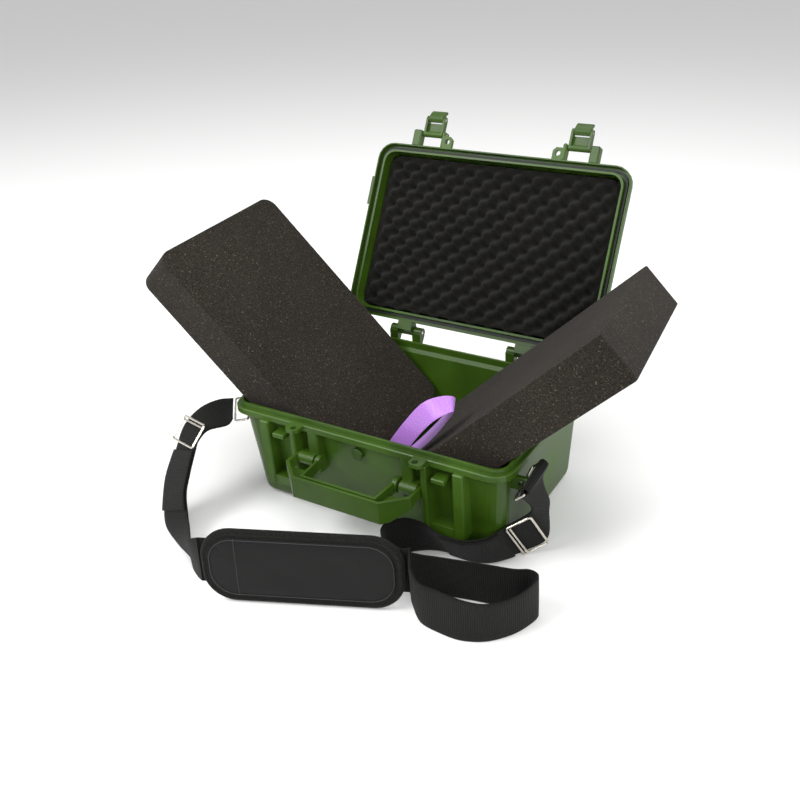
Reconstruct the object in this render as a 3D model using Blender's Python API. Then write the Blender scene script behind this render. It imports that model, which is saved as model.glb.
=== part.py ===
"""Telescope carry case: a moulded case with a hinged lid, draw latches, a folding handle,
loose foam inserts and a padded shoulder strap.

Lengths are in millimetres and turned to metres where a mesh is made. The origin is under the
middle of the base, X runs along the long side, -Y is the front and +Z is up. The lid and all
that it carries are modelled shut, then swung open about the hinge.
"""
import math

import bmesh
import bpy
from mathutils import Matrix, Vector

MM = 0.001

# Driving dimensions of the case
RIM_HALF = (178.0, 116.0)       # outer half sizes of the rim flange
TONGUE_HALF = (173.0, 110.6)    # outer half sizes of the sealing tongue
WALL_TOP_HALF = (169.5, 107.5)  # outer half sizes of the wall under the flange
WALL_LOW_HALF = (163.0, 101.0)  # outer half sizes of the wall above the bottom fillet
WALL = 3.0
RIM_TOP = 121.5
FLANGE_DEEP = 8.0
TONGUE_HIGH = 5.0
FOOT_HIGH = 2.5
LID_TOP = 161.5
LID_OPEN = math.radians(118.8)
HINGE_Y, HINGE_Z = 126.4, 133.0
LATCH_X = 103.0
GAP = 0.3                       # clearance between pieces that touch
PIN_R = 1.9
PIN_HOLE_R = PIN_R + GAP

# Length, width and thickness of each foam slab
SLAB = (330.0, 192.0, 54.5)
# The shoulder strap's webbing
WEB_WIDE = 50.0
WEB_THICK = 2.0

# Joint axis of the handle, as (y, z)
HANDLE_AXIS = (-119.0, 82.0)
# Joint axes of the latch link and its lever on the shut lid, as (y, z)
LINK_AXIS = (-133.0, 128.0)
LEVER_AXIS = (-153.0, 128.0)


def clear_scene():
    for item in list(bpy.data.objects):
        bpy.data.objects.remove(item, do_unlink=True)


def new_collection(name):
    group = bpy.data.collections.new(name)
    bpy.context.scene.collection.children.link(group)
    return group


def new_material(name, colour, roughness, metallic=0.0):
    made = bpy.data.materials.new(name)
    made.use_nodes = True
    shader = made.node_tree.nodes["Principled BSDF"]
    shader.inputs["Base Color"].default_value = (*colour, 1.0)
    shader.inputs["Roughness"].default_value = roughness
    shader.inputs["Metallic"].default_value = metallic
    made.diffuse_color = (*colour, 1.0)
    return made


# Mesh helpers. Each takes millimetres and returns a bmesh or adds to one.

def mirrored(span):
    return (-span[1], -span[0])


def add_box(bm, x, y, z):
    size = (x[1] - x[0], y[1] - y[0], z[1] - z[0])
    middle = ((x[0] + x[1]) / 2, (y[0] + y[1]) / 2, (z[0] + z[1]) / 2)
    placed = Matrix.Translation(middle) @ Matrix.Diagonal((*size, 1.0))
    bmesh.ops.create_cube(bm, size=1.0, matrix=placed)


def boxes(spans, both_sides=True, edge=0.0):
    """Separate blocks in one mesh; both_sides repeats each across the middle of the case."""
    bm = bmesh.new()
    for x, y, z in spans:
        add_box(bm, x, y, z)
        if both_sides:
            add_box(bm, mirrored(x), y, z)
    if edge:
        bmesh.ops.bevel(bm, geom=bm.edges[:], offset=edge, segments=1, affect="EDGES")
    return bm


def add_rod(bm, start, end, radius, segments=24):
    start, end = Vector(start), Vector(end)
    along = end - start
    turn = Vector((0, 0, 1)).rotation_difference(along).to_matrix().to_4x4()
    placed = Matrix.Translation((start + end) / 2) @ turn
    bmesh.ops.create_cone(bm, cap_ends=True, segments=segments, radius1=radius,
                          radius2=radius, depth=along.length, matrix=placed)


def rounded_ring(half_x, half_y, radius, z, steps=5):
    """Points of a rounded rectangle, counter-clockwise from above."""
    points = []
    for corner, (sx, sy) in enumerate(((1, 1), (-1, 1), (-1, -1), (1, -1))):
        for step in range(steps + 1):
            angle = math.pi / 2 * (corner + step / steps)
            points.append((sx * (half_x - radius) + radius * math.cos(angle),
                           sy * (half_y - radius) + radius * math.sin(angle), z))
    return points


def loft(rings, closed=False):
    """Skin rings of equal point count. Ends are capped unless the last ring meets the first."""
    bm = bmesh.new()
    rows = [[bm.verts.new(p) for p in ring] for ring in rings]
    count = len(rows[0])
    pairs = list(zip(rows, rows[1:]))
    if closed:
        pairs.append((rows[-1], rows[0]))
    for low, high in pairs:
        for i in range(count):
            j = (i + 1) % count
            bm.faces.new((low[i], low[j], high[j], high[i]))
    if not closed:
        bm.faces.new(rows[0][::-1])
        bm.faces.new(rows[-1])
    bmesh.ops.recalc_face_normals(bm, faces=bm.faces[:])
    return bm


def prism(outline, low, high, axis="Z"):
    """An outline of (a, b) points pushed from low to high. Along X, a is y and b is z."""
    if axis == "Z":
        return loft([[(a, b, level) for a, b in outline] for level in (low, high)])
    return loft([[(level, a, b) for a, b in outline] for level in (low, high)])


def smooth_path(points, steps):
    """Catmull-Rom through the points, each a tuple of any length."""
    ends = [tuple(2 * a - b for a, b in zip(points[0], points[1])),
            tuple(2 * a - b for a, b in zip(points[-1], points[-2]))]
    padded = [ends[0], *points, ends[1]]
    path = []
    for p0, p1, p2, p3 in zip(padded, padded[1:], padded[2:], padded[3:]):
        for step in range(steps):
            t = step / steps
            path.append(tuple(
                0.5 * (2 * b + (c - a) * t + (2 * a - 5 * b + 4 * c - d) * t * t
                       + (3 * b - a - 3 * c + d) * t ** 3)
                for a, b, c, d in zip(p0, p1, p2, p3)))
    path.append(tuple(points[-1]))
    return path


def band_frames(stations, steps=4):
    """(edge, other edge, outward, along) down a strip given by pairs of edge points."""
    path = smooth_path([(*one, *other) for one, other in stations], steps)
    frames = []
    for i, here in enumerate(path):
        before, after = path[max(i - 1, 0)], path[min(i + 1, len(path) - 1)]
        one, other = Vector(here[:3]), Vector(here[3:])
        along = sum((Vector(after[k:k + 3]) - Vector(before[k:k + 3]) for k in (0, 3)), Vector())
        frames.append((one, other, along.cross(other - one).normalized(), along.normalized()))
    return frames


def band(stations, thick, shift=0.0, first=0, last=None, steps=4):
    """A flat strip. shift moves it off its own plane; first and last keep a stretch of it."""
    rows = []
    for one, other, out, _ in band_frames(stations, steps):
        near, far = out * (shift - thick / 2), out * (shift + thick / 2)
        rows.append([one + near, other + near, other + far, one + far])
    end = len(rows) if last is None else round(last * steps) + 1
    return loft(rows[round(first * steps):end])


def frame_of(middle, along, across):
    """A place whose X runs along and whose Z runs across, at a point in millimetres."""
    along = Vector(along).normalized()
    across = Vector(across)
    across = (across - across.dot(along) * along).normalized()
    turn = Matrix((along, across.cross(along), across)).transposed().to_4x4()
    return Matrix.Translation(Vector(middle) * MM) @ turn


def band_place(stations, station, shift, steps=4):
    """A place on a strip: X along it, Z across it, at a distance off its plane."""
    one, other, out, along = band_frames(stations, steps)[round(station * steps)]
    return frame_of((one + other) / 2 + out * shift, along, other - one)


def turned_along_y(profile, x, z, segments=24):
    """A turned piece: the profile is (radius, y) pairs from front to back."""
    rings = []
    for radius, y in profile:
        angles = [2 * math.pi * i / segments for i in range(segments)]
        rings.append([(x + radius * math.cos(a), y, z + radius * math.sin(a)) for a in angles])
    return loft(rings)


# Object helpers

def finish(name, bm, material, group):
    mesh = bpy.data.meshes.new(name)
    bmesh.ops.scale(bm, vec=(MM, MM, MM), verts=bm.verts[:])
    bm.to_mesh(mesh)
    bm.free()
    made = bpy.data.objects.new(name, mesh)
    group.objects.link(made)
    if material:
        made.data.materials.append(material)
    return made


def combine(target, bm, operation, name):
    """Join a tool to the target, or cut it away, with a live Boolean."""
    tool = finish(name, bm, None, CUTTERS)
    tool.display_type = "WIRE"
    tool.hide_render = True
    made = target.modifiers.new(name, "BOOLEAN")
    made.operation = operation
    made.solver = "EXACT"
    made.object = tool
    return tool


def unite(target, bm, name):
    return combine(target, bm, "UNION", name)


def cut(target, bm, name):
    return combine(target, bm, "DIFFERENCE", name)


def pivot(name, place, parent=None):
    """An empty on a joint's axis, placed in millimetres in the shut case."""
    made = bpy.data.objects.new(name, None)
    made.empty_display_size = 0.02
    PARTS.objects.link(made)
    if parent:
        made.parent = parent
        made.matrix_parent_inverse = Matrix.Translation(-Vector(parent["place"]))
    made["place"] = [c * MM for c in place]
    made.location = made["place"]
    return made


def hang(piece, parent):
    """Parent a piece, or a tool, that is modelled in place in the shut case."""
    piece.parent = parent
    piece.matrix_parent_inverse = Matrix.Translation(-Vector(parent["place"]))
    return piece


# Base

def base_profile_outer():
    bottom = FOOT_HIGH
    under = RIM_TOP - FLANGE_DEEP
    low_x, low_y = WALL_LOW_HALF
    top_x, top_y = WALL_TOP_HALF
    rings = []
    for step in range(4):
        angle = math.pi / 2 * step / 3
        inset = 8.0 * (1 - math.sin(angle))
        rings.append(rounded_ring(low_x - inset, low_y - inset, 20.0 - inset,
                                  bottom + 8.0 * (1 - math.cos(angle))))
    rings += [
        rounded_ring(top_x, top_y, 18.0, under),
        rounded_ring(RIM_HALF[0] - 1, RIM_HALF[1] - 1, 21.0, under),
        rounded_ring(*RIM_HALF, 22.0, under + 1),
        rounded_ring(*RIM_HALF, 22.0, RIM_TOP - 1),
        rounded_ring(RIM_HALF[0] - 1, RIM_HALF[1] - 1, 21.0, RIM_TOP),
        rounded_ring(*TONGUE_HALF, 17.0, RIM_TOP),
        rounded_ring(*TONGUE_HALF, 17.0, RIM_TOP + TONGUE_HIGH)]
    return rings


def base_cavity():
    floor = FOOT_HIGH + WALL
    under = RIM_TOP - FLANGE_DEEP
    low_x, low_y = (c - WALL for c in WALL_LOW_HALF)
    top_x, top_y = (c - WALL for c in WALL_TOP_HALF)
    tongue_x, tongue_y = (c - WALL for c in TONGUE_HALF)
    return loft([
        rounded_ring(low_x - 5, low_y - 5, 12.0, floor),
        rounded_ring(low_x - 1.5, low_y - 1.5, 15.5, floor + 1.5),
        rounded_ring(low_x, low_y, 17.0, floor + 5),
        rounded_ring(top_x, top_y, 15.0, under),
        rounded_ring(tongue_x, tongue_y, 14.0, under + 5),
        rounded_ring(tongue_x, tongue_y, 14.0, RIM_TOP + TONGUE_HIGH + 5)])


EYE_X = 78.0
EYE_Y = -124.0
VALVE = (-5.0, 99.0)
RING_HANG = (181.0, -83.0, 100.0)   # the hole in the right strap lug


def make_base():
    base = finish("base_shell", loft(base_profile_outer()), GREEN, PARTS)
    under = RIM_TOP - FLANGE_DEEP + 2.5
    unite(base, boxes([((118.5, 131), (-121, -95), (33, under)),
                       ((81, 88.3), (-122, -95), (36, under)),
                       ((54, 68), (-116, -95), (62, under))], edge=1.5), "front_ribs")
    unite(base, boxes([((87, 119.5), (-119, -96), (33.5, 45))]), "slot_foot")
    unite(base, boxes([((95, 111), (-124, -98), (100, 106))], edge=1.0), "latch_catch")
    eye_tab = [(71, -110), (71, -126), (75, -130), (84, -130), (88, -126), (88, -110)]
    for side in (1, -1):
        outline = [(side * x, y) for x, y in eye_tab]
        unite(base, prism(outline, 116.8, RIM_TOP - 0.2), f"padlock_eye_{side}")
    unite(base, boxes([((57, 76), (-119, -96), (77, 87.5))]), "handle_lug_web")
    lugs = bmesh.new()
    for side in (1, -1):
        add_rod(lugs, (side * 56, *HANDLE_AXIS), (side * 76.5, *HANDLE_AXIS), 7.0)
    unite(base, lugs, "handle_lugs")
    for side in (1, -1):
        for a, b in ((62, 74), (96, 108)):
            arm = [(108, 114.5), (108, 121), (119, 121), (119, 133.5), (128, 133.5),
                   (131, 128), (122, 114.5)]
            unite(base, prism(arm, side * a, side * b, "X"), f"hinge_arm_{side}_{a}")
            knuckle = bmesh.new()
            add_rod(knuckle, (side * (a - 0.01), HINGE_Y, HINGE_Z),
                    (side * (b + 0.01), HINGE_Y, HINGE_Z), 6.0)
            unite(base, knuckle, f"hinge_knuckle_{side}_{a}")
    unite(base, boxes([((160, 188), (-86, -80), (92, 108))], edge=1.0), "strap_lug")
    feet = bmesh.new()
    for x in (84, 112):
        for y in (-82, 82):
            for side in (1, -1):
                add_rod(feet, (side * x, y, 0), (side * x, y, FOOT_HIGH + 1.5), 6.0, 16)
    add_rod(feet, (0, 0, 0), (0, 0, FOOT_HIGH + 1.5), 20.0, 32)
    unite(base, feet, "feet")
    cut(base, base_cavity(), "cavity")
    bores = bmesh.new()
    for side in (1, -1):
        add_rod(bores, (side * 50, *HANDLE_AXIS), (side * 76.9, *HANDLE_AXIS), PIN_HOLE_R, 16)
        add_rod(bores, (side * 60, HINGE_Y, HINGE_Z), (side * 110, HINGE_Y, HINGE_Z),
                PIN_HOLE_R, 16)
        add_rod(bores, (side * EYE_X, EYE_Y, 112), (side * EYE_X, EYE_Y, 126), 3.5, 20)
        add_rod(bores, (side * RING_HANG[0], -90, RING_HANG[2]),
                (side * RING_HANG[0], -76, RING_HANG[2]), 4.5, 20)
    add_rod(bores, (VALVE[0], -112, VALVE[1]), (VALVE[0], -98, VALVE[1]), 5.3, 20)
    cut(base, bores, "bores")
    return base


def make_valve():
    """The pressure valve: a knob outside the front wall, on a stem that a nut holds inside."""
    profile = [(6.2, -112.0), (7.0, -111.2), (7.0, -107.6), (5.0, -107.6), (5.0, -102.6),
               (7.5, -102.6), (7.5, -99.5)]
    finish("pressure_valve", turned_along_y(profile, *VALVE), GREEN_DARK, PARTS)


def make_pins(name, x_span, axis, parent=None):
    for side, word in ((-1, "left"), (1, "right")):
        rod = bmesh.new()
        add_rod(rod, (side * x_span[0], *axis), (side * x_span[1], *axis), PIN_R, 16)
        made = finish(f"{name}_{word}", rod, STEEL, PARTS)
        if parent:
            hang(made, parent[word])


# Lid

def lid_rings():
    top_x, top_y = WALL_TOP_HALF
    skirt = RIM_TOP + 0.4
    lip_x, lip_y = top_x - 0.2, top_y - 0.2
    return [
        rounded_ring(top_x - 13.1, top_y - 13.1, 8.0, LID_TOP - WALL),
        rounded_ring(top_x - 7.4, top_y - 7.4, 13.0, LID_TOP - WALL - 2.3),
        rounded_ring(top_x - 5.1, top_y - 5.1, 15.0, LID_TOP - WALL - 8),
        rounded_ring(top_x - WALL, top_y - WALL, 15.0, skirt + 8),
        rounded_ring(top_x - WALL, top_y - WALL, 15.0, skirt + GAP),
        rounded_ring(lip_x, lip_y, 16.0, skirt + GAP),
        rounded_ring(lip_x, lip_y, 16.0, skirt + 7.4),
        rounded_ring(RIM_HALF[0] - 1.8, RIM_HALF[1] - 1.8, 20.0, skirt + 7.4),
        rounded_ring(RIM_HALF[0] - 1.8, RIM_HALF[1] - 1.8, 20.0, skirt),
        rounded_ring(RIM_HALF[0] - 0.5, RIM_HALF[1] - 0.5, 21.5, skirt),
        rounded_ring(*RIM_HALF, 22.0, skirt + 0.5),
        rounded_ring(*RIM_HALF, 22.0, skirt + 8.6),
        rounded_ring(RIM_HALF[0] - 1, RIM_HALF[1] - 1, 21.0, skirt + 9.6),
        rounded_ring(top_x, top_y, 18.0, skirt + 9.6),
        rounded_ring(top_x - 2.1, top_y - 2.1, 18.0, LID_TOP - 8),
        rounded_ring(top_x - 4.4, top_y - 4.4, 15.7, LID_TOP - 2.3),
        rounded_ring(top_x - 10.1, top_y - 10.1, 10.0, LID_TOP)]


def make_lid(hinge):
    lid = hang(finish("lid_shell", loft(lid_rings()), GREEN, PARTS), hinge)
    skirt = RIM_TOP + 0.5

    def add(bm, name):
        hang(unite(lid, bm, name), hinge)

    add(boxes([((119, 131), (-137, -115), (skirt, 134)),
               ((83, 88), (-137, -115), (skirt, 134))], edge=1.5), "latch_ears")
    eye_tab = [(71, -115), (71, -127), (75, -131), (84.5, -131), (84.5, -115)]
    for side in (1, -1):
        outline = [(side * x, y) for x, y in eye_tab]
        add(prism(outline, skirt, 127.0), f"lid_padlock_eye_{side}")
        arm = [(115, skirt), (115, 131), (122, 138.5), (128, 138.5), (130, 130), (127, skirt)]
        add(prism(arm, side * 74.5, side * 95.5, "X"), f"lid_hinge_arm_{side}")
        knuckle = bmesh.new()
        add_rod(knuckle, (side * 74.49, HINGE_Y, HINGE_Z), (side * 95.51, HINGE_Y, HINGE_Z), 6.0)
        add(knuckle, f"lid_hinge_knuckle_{side}")
    add(boxes([((-181.5, -176.8), (-68, -30), (123, 131))], both_sides=False), "lid_side_pad")
    bores = bmesh.new()
    for side in (1, -1):
        add_rod(bores, (side * EYE_X, EYE_Y, 120), (side * EYE_X, EYE_Y, 132), 3.5, 20)
        add_rod(bores, (side * 81, *LINK_AXIS), (side * 125, *LINK_AXIS), PIN_HOLE_R, 16)
        add_rod(bores, (side * 72, HINGE_Y, HINGE_Z), (side * 98, HINGE_Y, HINGE_Z),
                PIN_HOLE_R, 16)
    hang(cut(lid, bores, "lid_bores"), hinge)
    return lid


def make_gasket(hinge):
    inner, outer = 108.4, 111.2
    reach = RIM_HALF[0] - RIM_HALF[1]
    low, high = RIM_TOP + TONGUE_HIGH + 0.4, RIM_TOP + 7.5
    rings = [rounded_ring(half + reach, half, half - 94, z)
             for half, z in ((inner, low), (outer, low), (outer, high), (inner, high))]
    hang(finish("lid_gasket", loft(rings, closed=True), RUBBER, PARTS), hinge)


def make_lid_foam(hinge):
    """The convoluted foam pad that fills the lid, peaks downwards."""
    half_x, half_y, round_r = 163.4, 101.4, 15.0
    peaks_x, peaks_y, fine = 12, 8, 4
    back, middle, deep = LID_TOP - WALL - 8.4, 134.6, 7.4
    bm = bmesh.new()
    bmesh.ops.create_grid(bm, x_segments=peaks_x * fine, y_segments=peaks_y * fine, size=1.0)
    for vert in bm.verts:
        wave = math.cos(math.pi * peaks_x * vert.co.x) * math.cos(math.pi * peaks_y * vert.co.y)
        edge = min(1.0, 12 * (1 - max(abs(vert.co.x), abs(vert.co.y))))
        flat = Vector((vert.co.x * half_x, vert.co.y * half_y))
        corner = Vector((math.copysign(half_x - round_r, flat.x),
                         math.copysign(half_y - round_r, flat.y)))
        if abs(flat.x) > abs(corner.x) and abs(flat.y) > abs(corner.y):
            off = flat - corner
            flat = corner + off * min(1.0, round_r / off.length)
        vert.co = (*flat, middle + deep * edge * wave)
    push = bmesh.ops.extrude_face_region(bm, geom=bm.faces[:])
    for item in push["geom"]:
        if isinstance(item, bmesh.types.BMVert):
            item.co.z = back
    bmesh.ops.recalc_face_normals(bm, faces=bm.faces[:])
    hang(finish("lid_foam", bm, FOAM, PARTS), hinge)


def make_latches(hinge):
    """Each draw latch: a link on the lid's ears and a lever on the link's far end."""
    link_at, lever_at = {}, {}
    for side, word in ((-1, "left"), (1, "right")):
        centre = side * LATCH_X
        link_at[word] = pivot(f"latch_link_axis_{word}", (centre, *LINK_AXIS), hinge)
        lever_at[word] = pivot(f"latch_lever_axis_{word}", (centre, *LEVER_AXIS), link_at[word])
        y1, z1 = LINK_AXIS
        y2, z2 = LEVER_AXIS
        link = finish(f"latch_link_{word}", boxes(
            [((centre - 13.5, centre + 13.5), (-148.0, y1), (z1 + 1.2, z1 + 4))],
            both_sides=False), GREEN, PARTS)
        hang(link, link_at[word])
        barrel = bmesh.new()
        add_rod(barrel, (centre - 14, y1, z1), (centre + 14, y1, z1), 4.0)
        hang(unite(link, barrel, f"link_barrel_{word}"), link_at[word])
        arm = [(y1, z1 - 3.9), (y1, z1 + 4.1), (y2, z2 + 4.1), (y2 - 4, z2 + 2), (y2 - 4, z2 - 2),
               (y2, z2 - 3.9)]
        for a in (-14, 11):
            hang(unite(link, prism(arm, centre + a, centre + a + 3, "X"),
                       f"link_arm_{word}_{a}"), link_at[word])
        bores = bmesh.new()
        for y, z in (LINK_AXIS, LEVER_AXIS):
            add_rod(bores, (centre - 15, y, z), (centre + 15, y, z), PIN_HOLE_R, 16)
        hang(cut(link, bores, f"link_bores_{word}"), link_at[word])

        profile = [(y2 + 3.5, z2 - 2), (y2 + 3.5, z2 + 2), (y2, z2 + 3.8), (y2 - 7, z2 + 3.8),
                   (y2 - 10, z2 + 7), (y2 - 12.5, z2 + 7), (y2 - 12.5, z2 + 4),
                   (y2 - 9.5, z2 + 0.5), (y2 - 4, z2 - 3.2), (y2, z2 - 3.8)]
        lever = finish(f"latch_lever_{word}",
                       prism(profile, centre - 10.6, centre + 10.6, "X"), GREEN, PARTS)
        hang(lever, lever_at[word])
        bore = bmesh.new()
        add_rod(bore, (centre - 15, y2, z2), (centre + 15, y2, z2), PIN_HOLE_R, 16)
        hang(cut(lever, bore, f"lever_bore_{word}"), lever_at[word])
    lid_side = {"left": hinge, "right": hinge}
    make_pins("latch_pin", (83.5, 124.5), LINK_AXIS, lid_side)
    make_pins("latch_lever_pin", (89.4, 116.6), LEVER_AXIS, link_at)


# Handle

def make_handle():
    axis = pivot("handle_axis", (0, *HANDLE_AXIS))
    wide, front = 80.7, -163.0
    outer = [(wide, -112), (wide, -140), (55.5, front), (-55.5, front), (-wide, -140),
             (-wide, -112)]
    inner = [(3.7 - wide, -112), (3.7 - wide, -138.2), (-54, front + 3), (54, front + 3),
             (wide - 3.7, -138.2), (wide - 3.7, -112)]
    handle = finish("handle", prism(outer + inner, 61.5, 87.5), GREEN, PARTS)
    hang(handle, axis)
    inner_plate = [(52, -110), (48.5, -157.5), (-48.5, -157.5), (-52, -110), (-49, -110),
                   (-45.5, -154.5), (45.5, -154.5), (49, -110)]
    hang(unite(handle, prism(inner_plate, 61.6, 87.4), "handle_inner_plate"), axis)
    web = [(79, -136), (79, -139.5), (55, -161.5), (-55, -161.5), (-79, -139.5), (-79, -136),
           (-50.5, -136), (-47.2, -156), (47.2, -156), (50.5, -136)]
    hang(unite(handle, prism(web, 61.7, 78.5), "handle_web"), axis)
    for side in (1, -1):
        boss = bmesh.new()
        add_rod(boss, (side * 47.5, *HANDLE_AXIS), (side * 53, *HANDLE_AXIS), 8.0)
        hang(unite(handle, boss, f"handle_boss_{side}"), axis)
    under = [(-104, 55), (-104, 75), (-137, 75), (-156, 61.4), (-156, 55)]
    hang(cut(handle, prism(under, -90, 90, "X"), "handle_underside"), axis)
    bores = bmesh.new()
    for side in (1, -1):
        add_rod(bores, (side * 45, *HANDLE_AXIS), (side * 85, *HANDLE_AXIS), PIN_HOLE_R, 16)
    hang(cut(handle, bores, "handle_bores"), axis)
    make_pins("handle_pin", (48, 80.4), HANDLE_AXIS)


# Foam slabs. Each turns about one oblique axis from lying flat to leaning out of the case.

def orthonormal(long, normal):
    long, normal = Vector(long).normalized(), Vector(normal)
    normal = (normal - normal.dot(long) * long).normalized()
    return Matrix((long, normal.cross(long), normal)).transposed()


SLAB_LEFT = ((0.682, 0.065, -0.729), (0.731, -0.059, 0.679), (-156.4, -7.0, 162.2))
SLAB_RIGHT = ((-0.730, -0.069, -0.680), (-0.678, -0.059, 0.733), (143.9, 7.9, 147.4))
# How each lies when packed: turned about Z, rolled about X, and its middle. The axis gives the Y
SLAB_LEFT_FLAT = (0.0, 4.0, (0.0, 88.3))
SLAB_RIGHT_FLAT = (180.0, 4.0, (0.0, 33.2))


def axis_point(pose, middle, flat_turn, flat_roll, flat_middle):
    """A point on the line about which one turn takes the leaning slab to its packed place."""
    flat = (Matrix.Rotation(math.radians(flat_roll), 3, "X")
            @ Matrix.Rotation(math.radians(flat_turn), 3, "Z"))
    axis, angle = (flat @ pose.transposed()).to_quaternion().to_axis_angle()
    middle = Vector(middle)
    goal = Vector((flat_middle[0], 0, flat_middle[1]))
    goal.y = middle.y - (axis.x * (goal.x - middle.x) + axis.z * (goal.z - middle.z)) / axis.y
    chord = goal - middle
    return (goal + middle) / 2 + axis.cross(chord) / (2 * math.tan(angle / 2))


def make_slab(name, radius, lean, flat):
    """The leaning slab, with its origin on its joint's axis."""
    long, normal, middle = lean
    pose = orthonormal(long, normal)
    centre = axis_point(pose, middle, *flat)
    length, width, thick = SLAB
    bm = loft([rounded_ring(length / 2, width / 2, radius, level)
               for level in (-thick / 2, thick / 2)])
    offset = pose.transposed() @ (Vector(middle) - centre)
    bmesh.ops.translate(bm, vec=offset, verts=bm.verts[:])
    made = finish(name, bm, FOAM, PARTS)
    made.matrix_world = Matrix.Translation(centre * MM) @ pose.to_4x4()


def make_slabs():
    make_slab("foam_slab_left", 15.6, SLAB_LEFT, SLAB_LEFT_FLAT)
    make_slab("foam_slab_right", 4.0, SLAB_RIGHT, SLAB_RIGHT_FLAT)


# Shoulder strap: stations are (upper or outer edge, lower or inner edge) pairs

STRAP_RIGHT = [
    ((116, -203, 61), (116, -201, 11)),
    ((130, -211, 51), (130, -210, 1)),
    ((152, -213, 50.5), (152, -214, 0.5)),
    ((176, -214, 50.5), (175, -214, 0.5)),
    ((197, -211, 50.5), (196, -206, 0.5)),
    ((213, -201, 50.5), (211, -193, 0.5)),
    ((225, -181, 50.5), (222, -177, 0.5)),
    ((230, -160, 50.5), (229, -157, 0.5)),
    ((228, -150, 50.5), (227, -148, 0.5)),
    ((218, -147, 50.5), (217, -146, 0.5)),
    ((204, -153, 50.5), (204, -150, 0.5)),
    ((181, -158, 50.5), (181, -156, 0.5)),
    ((155, -164, 50.5), (155, -161, 0.5)),
    ((128, -170, 50.5), (128, -167, 0.5)),
    ((101, -176, 50.5), (101, -173, 0.5)),
    ((74, -173, 50.5), (74, -170, 0.5)),
    ((57, -163, 50.5), (57, -161, 0.5)),
    ((51, -150, 50.5), (51, -149, 0.5)),
    ((56, -138, 50.5), (54, -136, 0.5)),
    ((68, -129, 50), (64, -123, 0.5)),
    ((88, -128.5, 49), (84, -111.5, 2)),
    ((108, -133, 45.5), (106, -107, 2.8)),
    ((135, -131.5, 45.8), (131, -106, 2.8)),
    ((154, -122, 47.5), (151, -100, 3.2)),
    ((161, -109.5, 47.5), (166.5, -85, 3.6)),
    ((165.1, -96.1, 48.2), (176.1, -69.1, 3.2)),
    ((184.6, -81.1, 60.8), (196.1, -54.1, 15.8)),
    ((190, -81, 69), (192, -41, 41)),
    ((190, -84, 76), (191, -38, 54)),
    ((189, -93, 87), (190, -46, 71)),
    ((190, -103, 98), (190, -54, 93)),
    ((198.4, -109.5, 108), (198.0, -60, 113))]


STRAP_LEFT = [
    ((-210.7, -75.5, 101.5), (-178.3, -113.5, 101.5)),
    ((-219, -93, 106), (-180, -122, 97)),
    ((-227, -114.5, 104), (-187, -144.5, 101)),
    ((-236, -134, 88.5), (-193, -156, 91.5)),
    ((-235, -154, 66.5), (-190, -166, 83.5)),
    ((-232, -175, 44.5), (-186.5, -183.5, 63.5)),
    ((-229, -187, 24.5), (-185, -194, 45)),
    ((-221, -199.5, 7.5), (-175, -206, 27.5)),
    ((-205, -212, 1.6), (-162, -218, 26.5)),
    ((-173, -227, 1.4), (-137, -241, 31.5)),
    ((-141, -240, 1.8), (-120, -253, 43)),
    ((-122, -256, 8), (-112, -266, 57))]

# The stretches of those stations along which the spare webbing lies
TAIL_LEFT = (4.0, 6.75)
TAIL_RIGHT = (21.0, 24.25)
TAIL_THICK = 1.6
TAIL_SHIFT = (WEB_THICK + TAIL_THICK) / 2 + 3 * GAP

PAD = (208.0, 84.0, 9.0)
PAD_MIDDLE = (10.3, -235.8, 42.6)
PAD_TURN = math.radians(21.4)
PAD_LEAN = math.radians(5.0)


def pad_place():
    return (Matrix.Translation(Vector(PAD_MIDDLE) * MM) @ Matrix.Rotation(PAD_TURN, 4, "Z")
            @ Matrix.Rotation(math.pi / 2 - PAD_LEAN, 4, "X"))


def pad_outline(name, size, thick, radius, edge, material, level):
    """A rounded flat pad, standing on its long edge, level above the pad's middle plane."""
    flat = bpy.data.curves.new(name, "CURVE")
    flat.dimensions = "2D"
    flat.fill_mode = "BOTH"
    flat.extrude = (thick / 2 - edge) * MM
    flat.bevel_depth = edge * MM
    flat.bevel_resolution = 1
    flat.offset = -edge * MM
    points = rounded_ring(size[0] / 2, size[1] / 2, radius, 0, steps=8)
    line = flat.splines.new("POLY")
    line.points.add(len(points) - 1)
    line.use_cyclic_u = True
    for spot, (x, y, _) in zip(line.points, points):
        spot.co = (x * MM, y * MM, 0, 1)
    made = bpy.data.objects.new(name, flat)
    made.matrix_world = pad_place() @ Matrix.Translation((0, 0, level * MM))
    flat.materials.append(material)
    PARTS.objects.link(made)
    return made


def make_pad():
    pad_outline("shoulder_pad", PAD[:2], PAD[2], 33.0, 2.5, WEBBING, 0)
    inset = (PAD[0] - 22, PAD[1] - 22)
    pad_outline("shoulder_pad_panel", inset, 1.4, 23.0, 0.4, RUBBER, PAD[2] / 2 + 0.7 + GAP)


def wire_loop(name, place, across, tall, wire, radius=3.0):
    """A closed rectangle of wire in the place's own XZ plane."""
    points = rounded_ring(across / 2, tall / 2, radius, 0, steps=3)
    path = bpy.data.curves.new(name, "CURVE")
    path.dimensions = "3D"
    path.bevel_depth = wire * MM
    path.bevel_resolution = 2
    line = path.splines.new("POLY")
    line.points.add(len(points) - 1)
    line.use_cyclic_u = True
    for spot, (x, z, _) in zip(line.points, points):
        spot.co = (x * MM, 0, z * MM, 1)
    path.materials.append(STEEL)
    made = bpy.data.objects.new(name, path)
    made.matrix_world = place
    PARTS.objects.link(made)
    return made


RING_WIRE = 1.3
BUCKLE_WIRE = 1.4
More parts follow.
